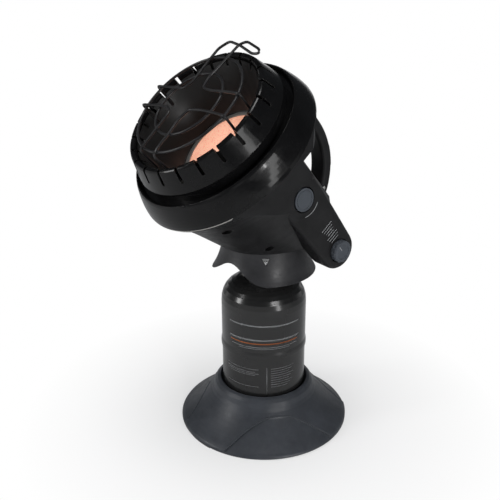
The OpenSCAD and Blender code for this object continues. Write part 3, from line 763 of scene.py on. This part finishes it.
@dataclass
class GasCylinder(SubAssembly):
    """The steel cylinder with plain printed rules in place of a label.

    Args:
        upper: Radius of the upper cup.
        lower: Radius of the lower cup.
        facing: Azimuth that the print is centred on, degrees.
        bands: Rules round the upper cup: name, height and thickness in millimetres, half their
            angle and their finish.
        fine: Thickness of the lower cup's fine rules.
        right_rows: Number of fine rules in the right block.
        right_top: Height of its first rule.
        right_pitch: Distance between its rules.
        right_span: Its first angle and its longest reach, degrees.
        left_rows: Heights of the left block's rules, in millimetres.
        left_span: First and last angle of the left block, degrees.
        upright: Height of the upright rule's foot, and its length.
        upright_span: First and last angle of the upright rule, degrees.
    """

    upper: float = 50 * MM
    lower: float = 49.7 * MM
    facing: float = -37.6
    bands: tuple[tuple[str, float, float, float, Finish], ...] = (
        ("top", 143.0, 1.6, 52, PRINT_PALE), ("middle", 125.0, 1.6, 52, PRINT_PALE),
        ("accent", 120.5, 1.5, 50, PRINT_ORANGE), ("low", 116.4, 0.7, 48, PRINT_PALE),
        ("lowest", 114.4, 0.5, 36, PRINT_PALE))
    fine: float = 0.45 * MM
    right_rows: int = 9
    right_top: float = 88.0 * MM
    right_pitch: float = 3.0 * MM
    right_span: tuple[float, float] = (9.0, 44.0)
    left_rows: tuple[float, ...] = (87.0, 83.4, 81.4, 79.4, 64.0)
    left_span: tuple[float, float] = (-58.0, -8.0)
    upright: tuple[float, float] = (54.0 * MM, 36.0 * MM)
    upright_span: tuple[float, float] = (3.0, 3.6)

    def rule(self, name: str, radius: float, height: float, thick: float, start: float,
             end: float, finish: Finish) -> None:
        """Adds one printed rule.

        Args:
            name: Piece name.
            radius: Radius of the wall it lies on.
            height: Its lower edge.
            thick: Its height.
            start: First angle from the facing direction.
            end: Last angle from the facing direction.
            finish: Its colour.
        """
        self.add(Shaper.band(name, radius, height, height + thick, self.facing + start,
                             self.facing + end, finish), Body.CYLINDER, "cylinder_paint")

    def build(self) -> None:
        """Adds the rules of the upper and the lower cup."""
        for name, height, thick, reach, finish in self.bands:
            self.rule(f"rule_{name}", self.upper, height * MM, thick * MM, -reach, reach, finish)
        start, end = self.right_span
        for i in range(self.right_rows):
            self.rule(f"rule_right_{i}", self.lower, self.right_top - i * self.right_pitch,
                      self.fine, start, end - (i * 37 % 11), PRINT_PALE)
        start, end = self.left_span
        for i, height in enumerate(self.left_rows):
            self.rule(f"rule_left_{i}", self.lower, height * MM, self.fine,
                      start + 3 * (i == 2), end - 5 * (i % 2), PRINT_PALE)
        self.rule("rule_upright", self.lower, *self.upright, *self.upright_span, PRINT_PALE)


@dataclass
class Head(SubAssembly):
    """Everything that turns with the burner head, and its frame.

    Args:
        place: Middle of the head's front.
        tilt: Turn of the head about X, degrees.
        button: Button's axis in the head's frame.
        droop: Slope of the control arm, degrees.
        knob: Knob's distance from the button along the arm.
        face: Distance of the control arm's face from the middle plane.
    """

    place: Point = (0.0, -90 * MM, 391 * MM)
    tilt: float = 40.0
    button: Point = (0.0, 2.4 * MM, -119.5 * MM)
    droop: float = 2.4
    knob: float = 87.5 * MM
    face: float = 80 * MM

    def frame(self) -> Matrix:
        """Matrix of the head's frame: x across, z out along its axis.

        Returns:
            The matrix.
        """
        return Matrix.Translation(self.place) @ Matrix.Rotation(math.radians(self.tilt), 4, "X")

    def arm(self) -> Matrix:
        """Matrix of the control arm's frame, at the button.

        Returns:
            The matrix.
        """
        return (self.frame() @ Matrix.Translation(self.button)
                @ Matrix.Rotation(math.radians(-self.droop), 4, "X"))

    def knob_frame(self) -> Matrix:
        """Matrix of the knob's frame, on its axis.

        Returns:
            The matrix.
        """
        return self.arm() @ Matrix.Translation((0.0, 0.0, -self.knob))


@dataclass
class Guard(Head):
    """The wire guard's spot welds.

    Args:
        depth: Height of a weld's middle in front of the nose.
        welds: Where the cross meets the rings, in the head's frame, in millimetres.
        bead: Half the extent of a weld along the head's axes.
    """

    depth: float = 10.0 * MM
    welds: tuple[tuple[float, float], ...] = (
        (12.0, -38.2), (39.8, -4.2), (13.8, -60.4), (61.9, -4.0), (-38.1, -12.7), (-12.0, -38.2),
        (-60.0, -16.0), (-10.4, -61.1), (-38.2, 12.2), (-18.3, 35.6), (-61.4, 8.6),
        (-19.6, 58.8), (34.8, 20.6), (2.7, 39.9), (57.8, 22.6), (4.5, 61.8))
    bead: Point = (1.9 * MM, 1.9 * MM, 1.3 * MM)

    def build(self) -> None:
        """Adds a bead where each pair of wires crosses."""
        frame_here = self.frame()
        turn = frame_here.to_3x3()
        for index, (across, up) in enumerate(self.welds):
            centre = frame_here @ Vector((across * MM, up * MM, self.depth))
            self.add(Shaper.blob(f"guard_weld_{index}", centre, Vector(self.bead), turn,
                                 WIRE_COATING), Body.HEAD, "dark_coating")


@dataclass
class Controls(Head):
    """The button, the knob and the plain marks beside them.

    Args:
        ring: Radius of the arc beside the button.
        sweep: First and last angle of that arc, from the arm's direction.
        block: Middle of the block of plain rules, across and along the arm from the button.
        rows: Number of rules in the block.
        pitch: Distance between rules.
        reach: Half the length of the longest rule, and how much the rules differ.
        width: Half the width of the arc's line, of the rules and of the pointer.
        inset: How deep a printed line's middle lies under the arm's face.
        pointer: Height of the knob's pointer over the arm's face, and where it starts and ends.
    """

    ring: float = 19.5 * MM
    sweep: tuple[float, float] = (-32.0, 34.0)
    block: tuple[float, float] = (3.6 * MM, 60.0 * MM)
    rows: int = 7
    pitch: float = 3.5 * MM
    reach: tuple[float, float] = (8.2 * MM, 1.1 * MM)
    width: tuple[float, float, float] = (0.3 * MM, 0.3 * MM, 0.45 * MM)
    inset: float = 0.08 * MM
    pointer: tuple[float, float, float] = (5.3 * MM, 2.5 * MM, 7.9 * MM)

    def line(self, name: str, ends: Sequence[Vector], radius: float, body: Body) -> None:
        """Adds a thin printed line.

        Args:
            name: Piece name.
            ends: Its path.
            radius: Half its width.
            body: The body it rides on.
        """
        self.add(Shaper.tube(name, ends, radius, PRINT_PALE, 6), body, "dark_plastic")

    def build(self) -> None:
        """Adds the arc, the block of rules and the knob's pointer."""
        here = self.arm()
        level = self.face - self.inset
        angles = [math.radians(self.sweep[0] + (self.sweep[1] - self.sweep[0]) * i / 20)
                  for i in range(21)]
        self.line("button_arc", [here @ Vector((level, self.ring * math.sin(a),
                                                -self.ring * math.cos(a))) for a in angles],
                  self.width[0], Body.HEAD)
        for row in range(self.rows):
            along = self.block[1] + (row - (self.rows - 1) / 2) * self.pitch
            half = self.reach[0] - self.reach[1] * (row * 5 % 4)
            ends = [here @ Vector((level, self.block[0] + side * half, -along))
                    for side in (-1, 1)]
            self.line(f"arm_rule_{row}", ends, self.width[1], Body.HEAD)
        top = self.face + self.pointer[0]
        knob = self.knob_frame()
        self.line("knob_pointer", [knob @ Vector((top, 0.0, z)) for z in self.pointer[1:]],
                  self.width[2], Body.KNOB)


@dataclass(frozen=True)
class Lamp:
    """A rectangular soft light.

    Args:
        name: Light name.
        place: Its position.
        size: Width and height.
        power: Power in watts.
        target: What it points at.
    """

    name: str
    place: Point
    size: tuple[float, float]
    power: float
    target: Point = (0.0, -0.03, 0.26)

    def build(self) -> None:
        """Adds the light to the scene."""
        data = bpy.data.lights.new(self.name, "AREA")
        data.shape = "RECTANGLE"
        data.size, data.size_y = self.size
        data.energy = self.power
        made = bpy.data.objects.new(self.name, data)
        made.location = self.place
        aim = Vector(self.target) - Vector(self.place)
        made.rotation_mode = "QUATERNION"
        made.rotation_quaternion = aim.to_track_quat("-Z", "Y")
        bpy.context.scene.collection.objects.link(made)


@dataclass
class Studio:
    """Floor, lights, background and camera.

    Args:
        eye: Camera position.
        azimuth: Camera azimuth, degrees.
        elevation: Camera elevation, degrees.
        roll: Camera roll, degrees.
        lens: Focal length in millimetres on a 36 mm sensor.
        sky: Strength of the world as a light.
        floor_white: Share of plain white in the floor under the object.
        floor_band: Distances from the middle between which the floor turns plain white.
        lamps: The soft lights.
    """

    eye: Point = (0.6133, -0.4932, 0.5389)
    azimuth: float = 52.352
    elevation: float = 22.223
    roll: float = -0.313
    lens: float = 53.1
    sky: float = 0.20
    floor_white: float = 0.60
    floor_band: tuple[float, float] = (0.10, 0.30)
    lamps: tuple[Lamp, ...] = (
        Lamp("key_left", (-0.45, -1.2, 0.70), (0.26, 0.8), 9.0),
        Lamp("side_right", (1.35, -0.02, 0.45), (0.22, 0.8), 5.0),
        Lamp("top_soft", (0.1, -0.1, 1.45), (0.40, 0.40), 6.5),
        Lamp("spark", (1.2, -0.26, 0.62), (0.13, 0.17), 4.0, (0.0, -0.09, 0.38)))

    def floor(self) -> None:
        """Lays a plain pale floor that turns white away from the object."""
        reach = 6.0
        points = [Vector((x * reach, y * reach, 0.0)) for x, y in
                  ((-1, -1), (1, -1), (1, 1), (-1, 1))]
        pale = Finish("floor_pale", (0.80, 0.80, 0.80), 0.7, tone=0.0, wear=0.0, smudge=0.02)
        sheet = Shaper.mesh("studio_floor", points, [[0, 1, 2, 3]], pale, smooth=False)
        graph = Graph(sheet.data.materials[0])
        away = graph.node("VectorMath", operation="LENGTH")
        graph.put(away.inputs[0], graph.place())
        share = graph.spread(away.outputs["Value"], *self.floor_band, self.floor_white, 1.0)
        path = graph.node("LightPath")
        seen = graph.maths("MAXIMUM", path.outputs["Is Camera Ray"],
                           path.outputs["Is Transmission Ray"])
        body = graph.node("BsdfDiffuse")
        body.inputs["Color"].default_value = (0.80, 0.80, 0.80, 1.0)
        white = graph.node("Emission")
        white.inputs["Color"].default_value = (1.0, 1.0, 1.0, 1.0)
        white.inputs["Strength"].default_value = 1.0
        mixed = graph.node("MixShader")
        graph.put(mixed.inputs["Fac"], graph.maths("MULTIPLY", seen, share))
        graph.put(mixed.inputs[1], body.outputs["BSDF"])
        graph.put(mixed.inputs[2], white.outputs["Emission"])
        graph.put(graph.node("OutputMaterial").inputs["Surface"], mixed.outputs["Shader"])

    def backdrop(self) -> None:
        """White for the camera and for reflections near the horizon, soft grey as a light."""
        world = bpy.data.worlds.new("studio_world")
        bpy.context.scene.world = world
        world.use_nodes = True
        tree = world.node_tree
        tree.nodes.clear()

        def shade(colour: Colour, strength: float) -> bpy.types.Node:
            """Adds a background shader.

            Args:
                colour: Its colour.
                strength: Its strength.

            Returns:
                The node.
            """
            made = tree.nodes.new("ShaderNodeBackground")
            made.inputs["Color"].default_value = (*colour, 1.0)
            made.inputs["Strength"].default_value = strength
            return made

        def blend(share: bpy.types.NodeSocket, first: bpy.types.Node,
                  second: bpy.types.Node) -> bpy.types.Node:
            """Mixes two shaders.

            Args:
                share: Share of the second.
                first: First shader node.
                second: Second shader node.

            Returns:
                The mixing node.
            """
            made = tree.nodes.new("ShaderNodeMixShader")
            tree.links.new(share, made.inputs["Fac"])
            tree.links.new(first.outputs[0], made.inputs[1])
            tree.links.new(second.outputs[0], made.inputs[2])
            return made

        path = tree.nodes.new("ShaderNodeLightPath")
        either = tree.nodes.new("ShaderNodeMath")
        either.operation = "MAXIMUM"
        tree.links.new(path.outputs["Is Glossy Ray"], either.inputs[0])
        tree.links.new(path.outputs["Is Transmission Ray"], either.inputs[1])
        coords = tree.nodes.new("ShaderNodeTexCoord")
        split = tree.nodes.new("ShaderNodeSeparateXYZ")
        tree.links.new(coords.outputs["Generated"], split.inputs[0])
        high = tree.nodes.new("ShaderNodeMapRange")
        for name, value in (("From Min", 0.0), ("From Max", 0.16)):
            high.inputs[name].default_value = value
        tree.links.new(split.outputs["Z"], high.inputs["Value"])
        white = shade((1.0, 1.0, 1.0), 1.0)
        mirrored = blend(high.outputs["Result"], white, shade((0.85, 0.92, 1.0), 0.05))
        light = blend(either.outputs[0], shade((0.80, 0.84, 0.90), self.sky), mirrored)
        out = tree.nodes.new("ShaderNodeOutputWorld")
        tree.links.new(blend(path.outputs["Is Camera Ray"], light, white).outputs["Shader"],
                       out.inputs["Surface"])

    def camera(self) -> None:
        """Sets the camera up as the photo's."""
        data = bpy.data.cameras.new("camera")
        data.lens = self.lens
        data.sensor_width = 36.0
        made = bpy.data.objects.new("camera", data)
        a, e = math.radians(self.azimuth), math.radians(self.elevation)
        back = Vector((math.sin(a) * math.cos(e), -math.cos(a) * math.cos(e), math.sin(e)))
        made.location = self.eye
        made.rotation_mode = "QUATERNION"
        level = (-back).to_track_quat("-Z", "Y").to_matrix()
        made.rotation_quaternion = (level @ Matrix.Rotation(
            math.radians(self.roll), 3, "Z")).to_quaternion()
        bpy.context.scene.collection.objects.link(made)
        bpy.context.scene.camera = made

    def build(self) -> None:
        """Makes the whole studio."""
        bpy.context.scene.view_settings.view_transform = "Standard"
        self.floor()
        self.backdrop()
        for lamp in self.lamps:
            lamp.build()
        self.camera()
        log.info("studio: floor, backdrop, %d soft lights and the camera", len(self.lamps))


def assemblies() -> list[SubAssembly]:
    """The sub-assemblies in building order.

    Returns:
        The list.
    """
    return [
        Foot(title="foot", finishes={"foot": SLATE_PLASTIC, "foot_ribs": SLATE_PLASTIC,
                                     "foot_pads": PAD_RUBBER}),
        GasCylinder(title="gas cylinder", finishes={
            "tank_lower_cup": CYLINDER_PAINT, "tank_upper_cup": CYLINDER_PAINT,
            "tank_foot_ring": CYLINDER_PAINT, "valve_body": PLATED_STEEL,
            "valve_core": TURNED_BRASS, "core_spring": PLATED_STEEL,
            "relief_valve": PLATED_STEEL}),
        Head(title="collar and housing", finishes={
            "collar": COLLAR_PLASTIC, "housing_left": DARK_PLASTIC,
            "housing_right": DARK_PLASTIC, "housing_screws": PLATED_STEEL,
            "handle": DARK_PLASTIC, "handle_grip": GRIP_RUBBER, "handle_screws": PLATED_STEEL,
            "tilt_switch": SLATE_PLASTIC}),
        Head(title="gas way", finishes={
            "regulator": CAST_ALLOY, "inlet_seal": PAD_RUBBER, "gas_pipe": TURNED_BRASS,
            "jet": TURNED_BRASS, "jet_bracket": PLATED_STEEL, "gas_cock": TURNED_BRASS,
            "cock_plug": PLATED_STEEL}),
        Head(title="burner", finishes={
            "mixing_tube": BURNER_STEEL, "burner_cup": BURNER_STEEL, "tile_gasket": FIBRE,
            "burner_tile": TILE_CERAMIC, "tile_retainer": BURNER_STEEL,
            "electrode": PROBE_GLAZE, "thermocouple": PROBE_COPPER}),
        Head(title="head's sheet metal", finishes={
            "back_plate": BURNER_STEEL, "shroud": DARK_COATING, "front_ring": DARK_COATING,
            "reflector": BOWL_ENAMEL, "plate_screws": PLATED_STEEL}),
        Guard(title="guard", finishes={
            "guard_cross": WIRE_COATING, "guard_inner_ring": WIRE_COATING,
            "guard_outer_ring": WIRE_COATING}),
        Controls(title="controls", finishes={
            "igniter": SLATE_PLASTIC, "button": BUTTON_PLASTIC, "button_spring": PLATED_STEEL,
            "knob": BUTTON_PLASTIC, "knob_spring": PLATED_STEEL}),
    ]


def main() -> None:
    """Builds the scene round the frame and reports each sub-assembly."""
    logging.basicConfig(level=logging.INFO, format="%(name)s: %(message)s")
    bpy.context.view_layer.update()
    for group in assemblies():
        group.dress()
        group.build()
        group.report()
    Studio().build()


if __name__ == "__main__":
    main()
